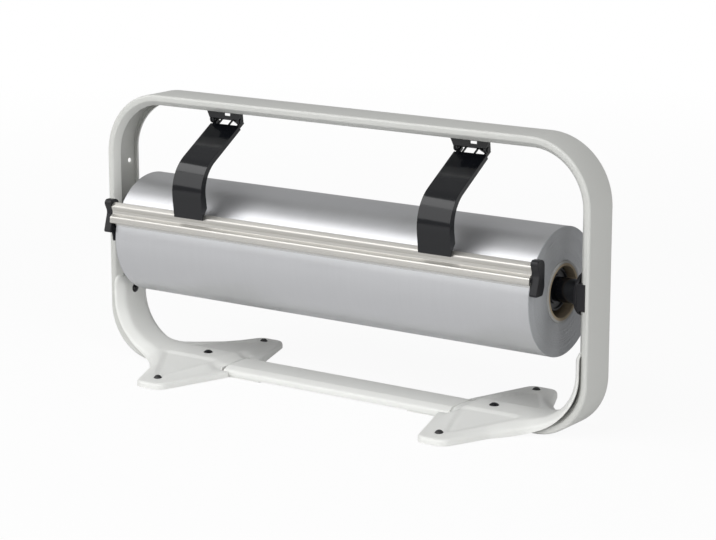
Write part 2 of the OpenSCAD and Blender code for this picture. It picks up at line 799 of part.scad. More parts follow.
module spring_arm() {
    bore_r = pin_r + pin_gap;
    hook_side = arm_w / 2 - hook_inset;
    difference() {
        union() {
            arm_strip(leaf_path(), cheek(leaf_path(bar_h - top_bend), low_flange, flange_taper), arm_w);
            arm_strip(neck_path(shoulder), cheek(neck_path(2 * shoulder), arm_flange, 0), neck_w);
            along_x(-hook_side, hook_side) polygon(sheet(hook_path(), arm_t));
            along_x(-hook_side, hook_side) polygon(pad_outline());
            both_sides() translate([neck_w / 2 - arm_t, 0, hinge_z]) rotate([0, 90, 0])
                cylinder(h = arm_t, r = ear_r);
        }
        translate([0, leaf_pivot.x, leaf_pivot.y]) rotate([leaf_slope, 0, 0])
            translate([0, -window_front, -arm_t]) window();
        translate([-arm_w / 2, 0, hinge_z]) rotate([0, 90, 0]) cylinder(h = arm_w, r = bore_r);
    }
}

module left_spring_arm() {
    color(black) translate([-arm_x, 0, 0]) spring_arm();
}

module right_spring_arm() {
    color(black) translate([arm_x, 0, 0]) spring_arm();
}

module tear_bar() {
    color("#c9c6c0") along_x(-bar_len / 2, bar_len / 2) polygon(tear_section());
}

module cutting_blade() {
    color("silver") translate([-roll_len / 2, blade_back - blade_t, bar_foot - blade_h])
        cube([roll_len, blade_t, blade_h + bar_t]);
}

module end_cap() {
    outline = rounded_loop([
        [cap_y, cap_z], [cap_y + 0.8 * cap_d, cap_z], [cap_y + cap_d, cap_z + cap_slant],
        [cap_y + cap_d, cap_z + cap_h], [cap_y, cap_z + cap_h], [cap_y + cap_hollow, cap_z + 0.62 * cap_h]
    ], [2, 3, 6, 6, 4, hollow_r]);
    along_x(bar_len / 2, bar_len / 2 + cap_t) polygon(outline);
}

module fin() {
    points = [[-fin_w / 2, bar_t], [fin_w / 2, bar_t], [fin_tip / 2, -fin_h], [-fin_tip / 2, -fin_h]];
    along_x(bar_len / 2, bar_len / 2 + bar_t) polygon([for (q = points) [cap_y + fin_y, cap_z] + q]);
}

module right_end_cap() {
    color(black) end_cap();
}

module left_end_cap() {
    color(black) mirror([1, 0, 0]) {
        end_cap();
        fin();
    }
}

frame_band();
left_foot();
right_foot();
crossbar();
rubber_feet();
frame_screws();
standoff_nuts();
axle_tube();
left_core_plug();
right_core_plug();
left_axle_collar();
right_axle_collar();
left_axle_block();
right_axle_block();
cardboard_core();
paper_roll();
left_hinge_bracket();
right_hinge_bracket();
hinge_pins();
left_spring_arm();
right_spring_arm();
tear_bar();
cutting_blade();
left_end_cap();
right_end_cap();
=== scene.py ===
"""Looks of a counter-top paper roll dispenser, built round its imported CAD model."""
import math

import bmesh
import bpy
import numpy as np
from mathutils import Matrix, Vector, geometry


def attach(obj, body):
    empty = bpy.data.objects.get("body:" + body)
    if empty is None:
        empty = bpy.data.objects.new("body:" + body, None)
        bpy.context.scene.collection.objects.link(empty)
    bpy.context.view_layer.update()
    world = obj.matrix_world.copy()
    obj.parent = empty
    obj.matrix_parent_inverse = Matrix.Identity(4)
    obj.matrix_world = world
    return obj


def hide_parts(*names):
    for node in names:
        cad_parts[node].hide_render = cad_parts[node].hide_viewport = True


bl_info = {
    "name": "Paper roll dispenser",
    "version": (1, 0, 0),
    "blender": (4, 5, 0),
    "location": "View3D > Sidebar > Dispenser",
    "description": "Builds the dressed pieces of a counter-top paper roll dispenser",
    "category": "Object",
}

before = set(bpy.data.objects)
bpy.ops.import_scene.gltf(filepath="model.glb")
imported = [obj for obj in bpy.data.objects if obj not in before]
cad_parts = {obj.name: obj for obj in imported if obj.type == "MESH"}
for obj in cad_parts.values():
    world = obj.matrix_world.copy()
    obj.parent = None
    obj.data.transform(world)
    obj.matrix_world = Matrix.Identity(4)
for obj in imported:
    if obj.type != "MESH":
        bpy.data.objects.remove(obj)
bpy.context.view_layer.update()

MM = 0.001
SIDES = (("left", -1), ("right", 1))
AXLE_HEIGHT = 0.1405
ALONG_X = Matrix.Rotation(math.pi / 2, 4, "Y")
# Faces that meet at less than this angle are shaded as one round surface
SMOOTH = math.radians(32)


# Sizes and colours that a user would change

def length(label, text, value):
    return bpy.props.FloatProperty(name=label, description=text, default=value, unit="LENGTH")


def paint(label, text, colour):
    return bpy.props.FloatVectorProperty(
        name=label, description=text, subtype="COLOR", size=3, min=0, max=1, default=colour)


class DispenserSizes(bpy.types.PropertyGroup):
    """Main lengths of the frame and the roll, and the roll's place"""
    frame_width: length("Frame width", "Outer width of the bent frame", 0.582)
    frame_height: length("Frame height", "Height of the frame's top", 0.288)
    band_depth: length("Band depth", "Depth of the bent band, front to back", 0.045)
    top_radius: length("Top corners", "Outer radius of the frame's top corners", 0.067)
    bottom_radius: length("Bottom corners", "Outer radius of the frame's bottom corners", 0.056)
    roll_length: length("Roll length", "Length of the paper on the roll", 0.5)
    roll_radius: length("Roll radius", "Outer radius of the paper roll", 0.06275)
    roll_y: length("Roll place, depth", "Roll's own axis behind the frame's middle", 0.0018354)
    roll_z: length("Roll place, height", "Height of the roll's own axis", 0.1378787)
    layer_pitch: length("Layer pitch", "Distance between the rings on the roll's ends", 0.00105)


class DispenserColours(bpy.types.PropertyGroup):
    """Main colour of each finish"""
    frame_paint: paint("Frame paint", "Powder coat of the bent frame", (0.62, 0.625, 0.60))
    # Lighter than the frame paint: the difference is painted light, for the stronger light that
    # falls on the feet and crossbar
    foot_paint: paint("Foot paint", "Powder coat of the feet and crossbar", (0.81, 0.815, 0.79))
    enamel: paint("Black enamel", "Spring arms, brackets and axle", (0.004, 0.0045, 0.006))
    plastic: paint("Black plastic", "End caps, plugs, collars and blocks", (0.010, 0.010, 0.012))
    paper: paint("Silver paper", "Coated side of the wrapping paper", (0.555, 0.56, 0.575))
    edges: paint("Paper edges", "Ends of the roll", (0.43, 0.44, 0.455))
    cardboard: paint("Cardboard", "Core of the roll", (0.36, 0.29, 0.20))
    bar: paint("Tear bar", "Satin metal of the tear bar", (0.58, 0.566, 0.535))
    steel: paint("Bright steel", "Blade, pins and nuts", (0.58, 0.58, 0.57))
    rubber: paint("Rubber", "Push-in rubber feet", (0.017, 0.017, 0.018))
    backdrop: paint("Backdrop", "Floor and background", (1.0, 1.0, 1.0))


def sizes():
    return bpy.context.scene.dispenser_sizes


def colours():
    return bpy.context.scene.dispenser_colours


# Nodes

class Value:
    """A node's output that Python's operators work on; each operation adds a Math node."""

    def __init__(self, nodes, socket):
        self.nodes = nodes
        self.socket = socket

    def maths(self, operation, first, second):
        return self.nodes.add("ShaderNodeMath", {"operation": operation}, {0: first, 1: second})

    def __add__(self, other):
        return self.maths("ADD", self, other)

    __radd__ = __add__

    def __sub__(self, other):
        return self.maths("SUBTRACT", self, other)

    def __rsub__(self, other):
        return self.maths("SUBTRACT", other, self)

    def __mul__(self, other):
        return self.maths("MULTIPLY", self, other)

    __rmul__ = __mul__

    def above(self, edge, width):
        """0 below edge, 1 above edge + width, and a straight rise between"""
        ends = {0: self, 1: edge, 2: edge + width}
        return self.nodes.add("ShaderNodeMapRange", {"clamp": True}, ends)


class Nodes:
    """A node tree, with the one way in which its nodes are added."""

    def __init__(self, tree):
        self.tree = tree

    def feed(self, socket, value):
        """Links a Value to a socket, or sets the socket to a constant"""
        if isinstance(value, Value):
            self.tree.links.new(value.socket, socket)
        else:
            socket.default_value = value

    def add(self, kind, settings, inputs, output=0):
        """A node's output as a Value, with its settings made before its sockets are fed"""
        node = self.tree.nodes.new(kind)
        for name, value in settings.items():
            setattr(node, name, value)
        for key, value in inputs.items():
            self.feed(node.inputs[key], value)
        return Value(self, node.outputs[output])

    def vector(self, x=0.0, y=0.0, z=0.0):
        return self.add("ShaderNodeCombineXYZ", {}, {"X": x, "Y": y, "Z": z})

    def seen(self, direct, mirrored):
        """Share of a backdrop's plain colour: direct to the camera, mirrored in gloss and glass"""
        camera, gloss, glass = (
            self.add("ShaderNodeLightPath", {}, {}, ray)
            for ray in ("Is Camera Ray", "Is Glossy Ray", "Is Transmission Ray"))
        return direct * camera + mirrored * (gloss + glass)


class Finish(Nodes):
    """The nodes of one material, over plain values for viewers that don't run nodes."""

    def __init__(self, name, colour, roughness, metallic=0.0, **constants):
        self.material = bpy.data.materials.new(name)
        self.material.use_nodes = True
        super().__init__(self.material.node_tree)
        self.surface = self.tree.nodes["Principled BSDF"]
        self.colour = colour
        self.material.diffuse_color = (*colour, 1)
        self.set("Base Color", (*colour, 1))
        self.set("Roughness", roughness)
        self.set("Metallic", metallic)
        for socket, value in constants.items():
            self.set(socket.replace("_", " "), value)
        self.place = self.add("ShaderNodeTexCoord", {}, {}, "Object")

    def set(self, socket, value):
        self.feed(self.surface.inputs[socket], value)

    def stretched(self, x, y, z):
        """The object's own coordinates, scaled along each axis"""
        sides = {0: self.place, 1: (x, y, z)}
        return self.add("ShaderNodeVectorMath", {"operation": "MULTIPLY"}, sides)

    def noise(self, scale, detail=2.0, rough=0.5, place=None):
        place = place or self.place
        inputs = {"Vector": place, "Scale": scale, "Detail": detail, "Roughness": rough}
        return self.add("ShaderNodeTexNoise", {}, inputs)

    def layers(self, distance, detail, rough, row=0.0):
        """Noise that changes with one distance only, as wound layers do"""
        return self.noise(1, detail, rough, self.vector(distance, row))

    def from_line(self, centre, across):
        """Distance from a line through centre; across is 1 on the axes that the line crosses"""
        points = {0: self.stretched(*across), 1: centre}
        return self.add("ShaderNodeVectorMath", {"operation": "DISTANCE"}, points, "Value")

    def from_roll_axis(self):
        return self.from_line((0, sizes().roll_y, sizes().roll_z), (0, 1, 1))

    def mix(self, share, *pair):
        """Mix of two colours or colour Values"""
        first, second = (c if isinstance(c, Value) else (*c, 1) for c in pair)
        inputs = {"Factor": share, 6: first, 7: second}
        return self.add("ShaderNodeMix", {"data_type": "RGBA"}, inputs, 2)

    def tints(self, share, *factors):
        """Mix of a darker and a lighter tint of the finish's own colour"""
        return self.mix(share, *(tuple(min(1.0, c * f) for c in self.colour) for f in factors))

    def bump(self, height, distance, strength=1.0, under=None):
        """Relief of a height map, its distance in mm"""
        inputs = {"Height": height, "Distance": distance * MM, "Strength": strength}
        if under:
            inputs["Normal"] = under
        return self.add("ShaderNodeBump", {}, inputs)

    def cover(self, colour, roughness, relief):
        self.set("Base Color", colour)
        self.set("Roughness", roughness)
        self.set("Normal", relief)
        return self.material


def powder_coat(name, colour):
    """Matt baked paint with a faint orange peel"""
    f = Finish(name, colour, 0.42, Specular_IOR_Level=0.45)
    broad, speck = f.noise(9, 3), f.noise(420, 2)
    tone = f.tints(broad * 0.7 + speck * 0.3, 0.965, 1.03)
    peel = f.bump(f.noise(900, 1), 0.06, 0.5)
    return f.cover(tone, 0.34 + 0.12 * broad + 0.06 * speck, peel)


def black_enamel(name, colour):
    """Glossy lacquer, smudged and a little wavy"""
    f = Finish(name, colour, 0.1, Specular_IOR_Level=0.2, Coat_Weight=0.45, Coat_Roughness=0.16)
    smudge = f.noise(38, 4, 0.6)
    wave = f.bump(f.noise(120, 1), 0.12, 0.35)
    return f.cover(f.tints(smudge, 0.8, 1.3), 0.05 + 0.08 * smudge, wave)


def moulded_plastic(name, colour):
    """Satin moulding with a fine grain"""
    f = Finish(name, colour, 0.36, Specular_IOR_Level=0.32)
    broad = f.noise(60, 3)
    grain = f.bump(f.noise(1500, 2), 0.04, 0.4)
    return f.cover(f.tints(broad, 0.75, 1.35), 0.26 + 0.16 * broad, grain)


def rubber(name, colour):
    f = Finish(name, colour, 0.55)
    grain = f.noise(1100, 3)
    return f.cover(f.tints(grain, 0.7, 1.5), 0.38 + 0.25 * grain, f.bump(grain, 0.05, 0.4))


def silver_paper(name, colour):
    """Metal-faced paper, clouded, with marks round the roll and slow ripples"""
    f = Finish(name, colour, 0.36, 0.82)
    winding = f.noise(1, 3, 0.6, f.stretched(260, 6, 6))
    ripple = f.noise(1, 2, 0.5, f.stretched(5, 30, 30))
    cloud = f.noise(7, 3)
    f.set("Metallic", 0.78 + 0.08 * cloud)
    tone = f.tints(winding * 0.5 + cloud * 0.5, 0.95, 1.04)
    relief = f.bump(ripple, 0.6, 0.3, f.bump(winding, 0.02, 0.3))
    return f.cover(tone, 0.31 + 0.05 * cloud + 0.06 * winding, relief)


def wound_edges(name, colour):
    """The roll's end, where the edges of the paper's layers show as fine rings"""
    f = Finish(name, colour, 0.42, 0.7)
    radius = f.from_roll_axis()
    rings, bands = f.layers(radius * 900, 3, 0.7), f.layers(radius * 150, 2, 0.5, 3.0)
    f.set("Metallic", 0.6 + 0.2 * bands)
    relief = f.bump(rings, 0.25, 0.5, f.bump(bands, 0.4, 0.4))
    return f.cover(f.tints(rings * 0.5 + bands * 0.5, 0.82, 1.12), 0.36 + 0.16 * rings, relief)


def wound_cardboard(name, colour):
    """Brown plies inside, and grey paper glued round the outer ones"""
    f = Finish(name, colour, 0.85)
    radius = f.from_roll_axis()
    plies = f.layers(radius * 1100, 2, 0.5, 1.0)
    fibre = f.noise(600, 4, 0.65, f.stretched(1.0, 0.4, 0.4))
    tone = plies * 0.6 + fibre * 0.4
    glued = radius.above(0.0274, 0.0006)
    board, grey = f.tints(tone, 0.62, 1.3), f.mix(tone, (0.26, 0.26, 0.255), (0.5, 0.5, 0.49))
    return f.cover(f.mix(glued, board, grey), 0.7 + 0.2 * fibre, f.bump(tone, 0.2, 0.5))


def drawn_metal(name, colour, roughness, metallic, stretch):
    """Metal with fine lines that run the long way of its drawing or grinding"""
    f = Finish(name, colour, roughness, metallic)
    lines, broad = f.noise(1, 3, 0.65, f.stretched(*stretch)), f.noise(12, 2)
    tone = f.tints(lines * 0.6 + broad * 0.4, 0.93, 1.05)
    return f.cover(tone, roughness - 0.06 + 0.12 * lines, f.bump(lines, 0.03, 0.4))


# Each finish's maker, the colour it takes and what else the maker needs
FINISHES = {
    "frame_paint": (powder_coat, "frame_paint"),
    # The feet's powder coat is made lighter than the frame's, as painted light for the stronger
    # light on them
    "foot_paint": (powder_coat, "foot_paint"),
    "black_enamel": (black_enamel, "enamel"),
    "black_plastic": (moulded_plastic, "plastic"),
    "silver_paper": (silver_paper, "paper"),
    "paper_edges": (wound_edges, "edges"),
    "cardboard": (wound_cardboard, "cardboard"),
    "bar_metal": (drawn_metal, "bar", 0.37, 0.88, (6, 1400, 1400)),
    "blade_steel": (drawn_metal, "steel", 0.26, 1.0, (8, 900, 900)),
    "zinc": (drawn_metal, "steel", 0.32, 1.0, (500, 500, 500)),
    "rubber": (rubber, "rubber"),
}


def coat(kind):
    """One material for each finish, made the first time it is asked for"""
    name = kind.replace("_", " ") + " finish"
    known = bpy.data.materials.get(name)
    if known:
        return known
    maker, colour, *rest = FINISHES[kind]
    return maker(name, tuple(getattr(colours(), colour)), *rest)


# Shapes

def rounded(points, radii, steps=8, closed=False):
    """The points of a path whose corners are arcs, one radius for each corner"""
    points = [Vector(p) for p in points]
    count = len(points)
    corners = range(count) if closed else range(1, count - 1)
    made = [] if closed else [points[0]]
    for i, radius in zip(corners, radii):
        a, b, c = points[i - 1], points[i], points[(i + 1) % count]
        u, w = (a - b).normalized(), (c - b).normalized()
        half = u.angle(w) / 2
        if radius == 0 or half > math.pi / 2 - 1e-4:
            made.append(b)
            continue
        centre = b + (u + w).normalized() * radius / math.sin(half)
        first = b + u * radius / math.tan(half) - centre
        last = b + w * radius / math.tan(half) - centre
        turn = math.atan2(first.x * last.y - first.y * last.x, first.dot(last))
        for k in range(steps + 1):
            made.append(centre + Matrix.Rotation(turn * k / steps, 2) @ first)
    return made if closed else made + [points[-1]]


def strip(path, thickness, cap=3):
    """The closed outline of a sheet along an open path, with cap points on its rounded edges"""
    sides = []
    for i, p in enumerate(path):
        before = (p - path[i - 1]).normalized() if i else (path[1] - p).normalized()
        after = (path[i + 1] - p).normalized() if i < len(path) - 1 else before
        mid = (before + after).normalized()
        sides.append(Vector((-mid.y, mid.x)) / max(mid.dot(before), 0.5))
    half = thickness / 2

    def edge(end, side):
        turns = (Matrix.Rotation(-math.pi * k / (cap + 1), 2) for k in range(1, cap + 1))
        return [end + turn @ (side * half) for turn in turns]

    outline = [p + s * half for p, s in zip(path, sides)] + edge(path[-1], sides[-1])
    outline += [p - s * half for p, s in zip(reversed(path), reversed(sides))]
    return outline + edge(path[0], -sides[0])


def put(name, data):
    """A new object in the scene"""
    obj = bpy.data.objects.new(name, data)
    bpy.context.scene.collection.objects.link(obj)
    return obj


def shade(mesh, smooth=SMOOTH):
    mesh.polygons.foreach_set("use_smooth", [True] * len(mesh.polygons))
    mesh.set_sharp_from_angle(angle=smooth)
    mesh.update()


def piece(name, mesh, finish, smooth=SMOOTH):
    mesh.materials.clear()
    mesh.materials.append(coat(finish))
    shade(mesh, smooth)
    return put(name, mesh)


def mesh_of(name, build):
    """A mesh made by a function that fills a bmesh, with its faces pointing outwards"""
    bm = bmesh.new()
    build(bm)
    bmesh.ops.remove_doubles(bm, verts=bm.verts, dist=1e-7)
    bmesh.ops.recalc_face_normals(bm, faces=bm.faces)
    mesh = bpy.data.meshes.new(name)
    bm.to_mesh(mesh)
    bm.free()
    return mesh


def reshaped(mesh, change):
    """A mesh after a function has changed it as a bmesh"""
    bm = bmesh.new()
    bm.from_mesh(mesh)
    change(bm)
    bm.to_mesh(mesh)
    bm.free()
    return mesh


def turned(bm, profile, steps, matrix=Matrix.Identity(4)):
    """Adds a closed round solid: (radius, height) points in mm, turned about Z, then the matrix"""
    rings = []
    for radius, height in profile:
        angles = [2 * math.pi * k / steps for k in range(steps)] if radius > 1e-6 else [0]
        corners = [Vector((radius * math.cos(a), radius * math.sin(a), height)) for a in angles]
        rings.append([bm.verts.new(matrix @ (corner * MM)) for corner in corners])
    for low, high in zip(rings, rings[1:] + rings[:1]):
        if len(low) == 1 and len(high) == 1:
            continue
        for k in range(steps):
            a, b = k % len(low), (k + 1) % len(low)
            c, d = (k + 1) % len(high), k % len(high)
            bm.faces.new(list(dict.fromkeys((low[a], low[b], high[c], high[d]))))


def lathed(name, profile, matrix, finish, steps=72):
    """A round piece, turned from a profile in mm"""
    mesh = mesh_of(name, lambda bm: turned(bm, profile, steps, matrix))
    return piece(name, mesh, finish)


def extruded(bm, outline, start, end):
    """Adds a prism of a (y, z) outline between two values of x"""
    ends = [[bm.verts.new((x, p[0], p[1])) for p in outline] for x in (start, end)]
    bm.faces.new(ends[0])
    bm.faces.new(ends[1][::-1])
    for k in range(len(outline)):
        n = (k + 1) % len(outline)
        bm.faces.new([ends[0][k], ends[1][k], ends[1][n], ends[0][n]])


def settle(obj):
    """Turns a piece with its modifiers into a plain mesh"""
    graph = bpy.context.evaluated_depsgraph_get()
    mesh = bpy.data.meshes.new_from_object(obj.evaluated_get(graph))
    obj.modifiers.clear()
    old, obj.data = obj.data, mesh
    bpy.data.meshes.remove(old)
    mesh.name = obj.name


def stands_for(obj, body, node):
    """Puts a piece in the place of a CAD node"""
    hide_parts(node)
    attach(obj, body)


def softened(node, name, body, slot, finish, width, segments=3, angle=38, joined=True):
    """A copy of a CAD node's solid with its edges rounded by width, in mm, which stands for it"""
    def merge(bm):
        bmesh.ops.remove_doubles(bm, verts=bm.verts, dist=1e-6)
        if joined:
            flat = math.radians(0.4)
            bmesh.ops.dissolve_limit(bm, angle_limit=flat, verts=bm.verts, edges=bm.edges)

    mesh = reshaped(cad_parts[node].data.copy(), merge)
    obj = piece(name, mesh, finish, math.radians(angle))
    bevel = obj.modifiers.new("Edges", "BEVEL")
    bevel.width = width * MM
    bevel.segments = segments
    bevel.limit_method = "ANGLE"
    bevel.angle_limit = math.radians(angle)
    bevel.use_clamp_overlap = True
    bevel.miter_outer = "MITER_ARC"
    weighted = obj.modifiers.new("Flats", "WEIGHTED_NORMAL")
    weighted.keep_sharp = False
    settle(obj)
    stands_for(obj, body, node)


def cut_away(obj, build):
    """Cuts a solid out of a piece"""
    tool = put("cutter", mesh_of("cutter", build))
    step = obj.modifiers.new("Cut", "BOOLEAN")
    step.operation = "DIFFERENCE"
    step.solver = "EXACT"
    step.object = tool
    settle(obj)
    bpy.data.objects.remove(tool)


# Geometry Nodes

class Tree(Nodes):
    """A Geometry Nodes tree with named inputs."""

    def __init__(self, name):
        super().__init__(bpy.data.node_groups.new(name, "GeometryNodeTree"))
        for way in ("INPUT", "OUTPUT"):
            self.socket("Geometry", "Geometry", way)
        self.start = self.tree.nodes.new("NodeGroupInput")
        self.end = self.tree.nodes.new("NodeGroupOutput")

    def socket(self, name, kind, way="INPUT"):
        self.tree.interface.new_socket(name, in_out=way, socket_type="NodeSocket" + kind)

    def inputs(self, kind, *names):
        """New inputs of one kind, as Values"""
        for name in names:
            self.socket(name, kind)
        return [Value(self, self.start.outputs[name]) for name in names]

    def compared(self, operation, first, second):
        settings = {"data_type": "INT", "operation": operation}
        return self.add("FunctionNodeCompare", settings, {2: first, 3: second})

    def finish(self, shape, material):
        real = self.add("GeometryNodeRealizeInstances", {}, {"Geometry": shape})
        made = self.add("GeometryNodeSetMaterial", {}, {"Geometry": real, "Material": material})
        self.feed(self.end.inputs["Geometry"], made)
        return self

    def run(self, name, mesh, values):
        """A piece made from a mesh by this tree, its inputs set by their sockets' identifiers"""
        obj = put(name, mesh)
        step = obj.modifiers.new(name, "NODES")
        step.node_group = self.tree
        sockets = {s.name: s.identifier for s in self.tree.interface.items_tree
                   if s.in_out == "INPUT"}
        for key, value in values.items():
            step[sockets[key]] = value
        settle(obj)
        shade(obj.data)
        return obj


def section_curve(name, outline):
    """A closed flat curve in the XY plane, used as a section"""
    curve = bpy.data.curves.new(name, "CURVE")
    curve.dimensions = "3D"
    line = curve.splines.new("POLY")
    line.points.add(len(outline) - 1)
    for point, p in zip(line.points, outline):
        point.co = (p[0], p[1], 0, 1)
    line.use_cyclic_u = True
    return put(name, curve)


def dots(name, places):
    """A mesh of loose points"""
    mesh = bpy.data.meshes.new(name)
    mesh.from_pydata(places, [], [])
    return mesh


def bent_band_tree():
    """A section swept round an upright loop with round corners, open at the bottom"""
    t = Tree("bent band")
    half, low, high, opening, top_radius, bottom_radius = t.inputs(
        "Float", "Half width", "Bottom", "Top", "Half opening",
        "Top corner radius", "Bottom corner radius")
    [section], [material] = t.inputs("Object", "Section"), t.inputs("Material", "Material")
    corners = [(opening, low), (half, low), (half, high)]
    corners += [(-1 * x, z) for x, z in reversed(corners)]
    line = t.add("GeometryNodeMeshLine", {}, {"Count": len(corners)})
    number = t.add("GeometryNodeInputIndex", {}, {})
    switch = t.tree.nodes.new("GeometryNodeIndexSwitch")
    switch.data_type = "VECTOR"
    while len(switch.index_switch_items) < len(corners):
        switch.index_switch_items.new()
    t.feed(switch.inputs["Index"], number)
    for i, (x, z) in enumerate(corners):
        t.feed(switch.inputs[1 + i], t.vector(x, 0.0, z))
    places = Value(t, switch.outputs[0])
    placed = t.add("GeometryNodeSetPosition", {}, {"Geometry": line, "Position": places})
    path = t.add("GeometryNodeMeshToCurve", {}, {"Mesh": placed})
    at_top = t.compared("GREATER_THAN", number, 1) * t.compared("LESS_THAN", number, 4)
    radii = {0: at_top, 1: bottom_radius, 2: top_radius}
    radius = t.add("GeometryNodeSwitch", {"input_type": "FLOAT"}, radii)
    bend = {"Curve": path, "Radius": radius, "Count": 28}
    bent = t.add("GeometryNodeFilletCurve", {"mode": "POLY"}, bend)
    profile = t.add("GeometryNodeObjectInfo", {}, {"Object": section}, "Geometry")
    sweep = {"Curve": bent, "Profile Curve": profile, "Fill Caps": True}
    return t.finish(t.add("GeometryNodeCurveToMesh", {}, sweep), material)


def scatter_tree():
    """One piece set at each point, turned by the point's own angles"""
    t = Tree("set at points")
    [part], [material] = t.inputs("Object", "Part"), t.inputs("Material", "Material")
    vector = {"data_type": "FLOAT_VECTOR"}
    turn = t.add("GeometryNodeInputNamedAttribute", vector, {"Name": "turn"})
    shape = t.add("GeometryNodeObjectInfo", {}, {"Object": part}, "Geometry")
    rotation = t.add("FunctionNodeEulerToRotation", {}, {"Euler": turn})
    points = Value(t, t.start.outputs["Geometry"])
    placing = {"Points": points, "Instance": shape, "Rotation": rotation}
    return t.finish(t.add("GeometryNodeInstanceOnPoints", {}, placing), material)


def windings_tree():
    """Rings of wound layers, each a little further out or in than the next"""
    t = Tree("wound layers")
    inner, pitch = t.inputs("Float", "Inner radius", "Pitch")
    count, seed = t.inputs("Int", "Count", "Seed")
    [uneven], [material] = t.inputs("Float", "Unevenness"), t.inputs("Material", "Material")
    line = t.add("GeometryNodeMeshLine", {}, {"Count": count})
    number = t.add("GeometryNodeInputIndex", {}, {})
    span = {2: -1 * uneven, 3: uneven, "ID": number, "Seed": seed}
    shift = t.add("FunctionNodeRandomValue", {"data_type": "FLOAT"}, span, 1)
    places = {"Geometry": line, "Position": t.vector(z=shift)}
    placed = t.add("GeometryNodeSetPosition", {}, places)
    radius = inner + pitch * (number + 0.5)
    circle = "GeometryNodeCurvePrimitiveCircle"
    ring = t.add(circle, {}, {"Resolution": 128, "Radius": 1.0})
    placing = {"Points": placed, "Instance": ring, "Scale": t.vector(radius, radius, 1.0)}
    rings = t.add("GeometryNodeInstanceOnPoints", {}, placing)
    real = t.add("GeometryNodeRealizeInstances", {}, {"Geometry": rings})
    section = t.add(circle, {}, {"Resolution": 8, "Radius": pitch * 0.62})
    sweep = {"Curve": real, "Profile Curve": section}
    return t.finish(t.add("GeometryNodeCurveToMesh", {}, sweep), material)


class BuildBand(bpy.types.Operator):
    """Bend the channel-shaped band into the frame's loop"""
    bl_idname = "dispenser.build_band"
    bl_label = "Frame band"

    def execute(self, context):
        s = sizes()
        # The channel's section, in mm: its sheet, and where its flanges fold and end
        thick, flange, lip, lean, tuck, bend = 1.5, 6.6, 11.5, 7.7, 1.5, 2.2
        half = s.band_depth / MM / 2
        out = Vector((lip - flange, lean)).normalized()
        m = thick / 2
        side = [
            (half - lean - m * out.x, lip - m * out.y),
            (half - m - tuck, flange - m * (1 - out.x) / out.y),
            (half - m, m),
        ]
        path = rounded(side + [(-y, z) for y, z in reversed(side)], [bend - m] * 4, 7)
        outline = [(-p.x * MM, -p.y * MM) for p in strip(path, thick)]
        section = section_curve("section", outline)
        values = {
            "Half width": s.frame_width / 2,
            "Bottom": MM,
            "Top": s.frame_height,
            "Half opening": 0.163,
            "Top corner radius": s.top_radius,
            "Bottom corner radius": s.bottom_radius,
            "Section": section,
            "Material": coat("frame_paint"),
        }
        band = bent_band_tree().run("frame_shell", dots("frame_shell", []), values)
        bpy.data.objects.remove(section)

        def openings(bm):
            """The cuts in the posts' flanges for the axle's blocks, and the left post's hole"""
            cut = Matrix.Diagonal((0.012, 0.012, 0.0266, 1))
            inset, flange_y = 0.0097, 0.018
            for _, side in SIDES:
                for y in (-flange_y, flange_y):
                    place = (side * (s.frame_width / 2 - inset), y, AXLE_HEIGHT)
                    bmesh.ops.create_cube(bm, size=1, matrix=Matrix.Translation(place) @ cut)
            countersunk = [(0, 0), (2.4, 0), (2.4, 1.4), (3.9, 2.5), (3.9, 4), (0, 4)]
            start = Matrix.Translation((-s.frame_width / 2 - MM, 0.0126, 0.208))
            turned(bm, countersunk, 40, start @ ALONG_X)

        cut_away(band, openings)
        shade(band.data)
        stands_for(band, "frame", "frame_band")
        return {"FINISHED"}


# Feet. A foot is drawn unrolled, in mm: u goes along its arm from the frame's middle, y goes
# across, and a height is measured up from LIFT, or inwards from the bend's outer radius

# Height of the band's face, thickness of the sheet, its wall's least height, half the arm's width
LIFT, SHEET, LEAST_WALL, ARM_HALF = 1.0, 2.0, 0.4, 25
FOOT_START, LOBE_START = 139.5, 128
# The bend's start, the radius that height is measured from and the radius that u follows
BEND_U, BEND_R, MID_R = 225.5, 64.0, 57.0
BEND_L = MID_R * math.pi / 2
ARM_END = BEND_U + BEND_L + 24.0
# Where the wall leaves the table, the radius of the gap that it follows, its height past the bend
GAP_U, GAP_R, GAP_END = 216, 67.3, 6.2
# The corners of half the outline, from the seam to the arm's end, and their radii
HALF_FOOT = [
    (FOOT_START, ARM_HALF), (LOBE_START, ARM_HALF), (156.5, 108), (187, 108),
    (208, 60), (236, ARM_HALF), (ARM_END, ARM_HALF),
]
FOOT_RADII = [1.5, 3, 12, 13, 24, 34, 10]
# The sunk panel's corners and depth
PANEL_INNER, PANEL_OUTER, PANEL_LOBE, PANEL_DEPTH = (150, 17.5), (222, 17.5), (176, 92), 1.7
# Radius of each foot's edge at its seam with the crossbar
SEAM_ROUND = {-1: 0.8, 1: 0.05}


def eased(t):
    """0 to 1 with a soft start and end"""
    t = np.clip(t, 0, 1)
    return t * t * (3 - 2 * t)


def capped(t, width):
    """The smaller of t and 1, with a soft corner"""
    h = np.clip(0.5 + 0.5 * (1 - t) / width, 0, 1)
    return 1 + (t - 1) * h - width * h * (1 - h)


def soft_less(a, b, width):
    """The smaller of two numbers, with a round corner"""
    return 0.5 * (a + b - np.sqrt((a - b) ** 2 + width ** 2))


def soft_past(a, width):
    """The larger of a number and 0, with a round corner"""
    return 0.5 * (a + np.sqrt(a ** 2 + width ** 2))


def edge_drop(inset, radius):
    """How far a round edge has fallen at a distance inside it"""
    depth = np.clip(radius - inset, 0, radius)
    return radius - np.sqrt(radius ** 2 - depth ** 2)


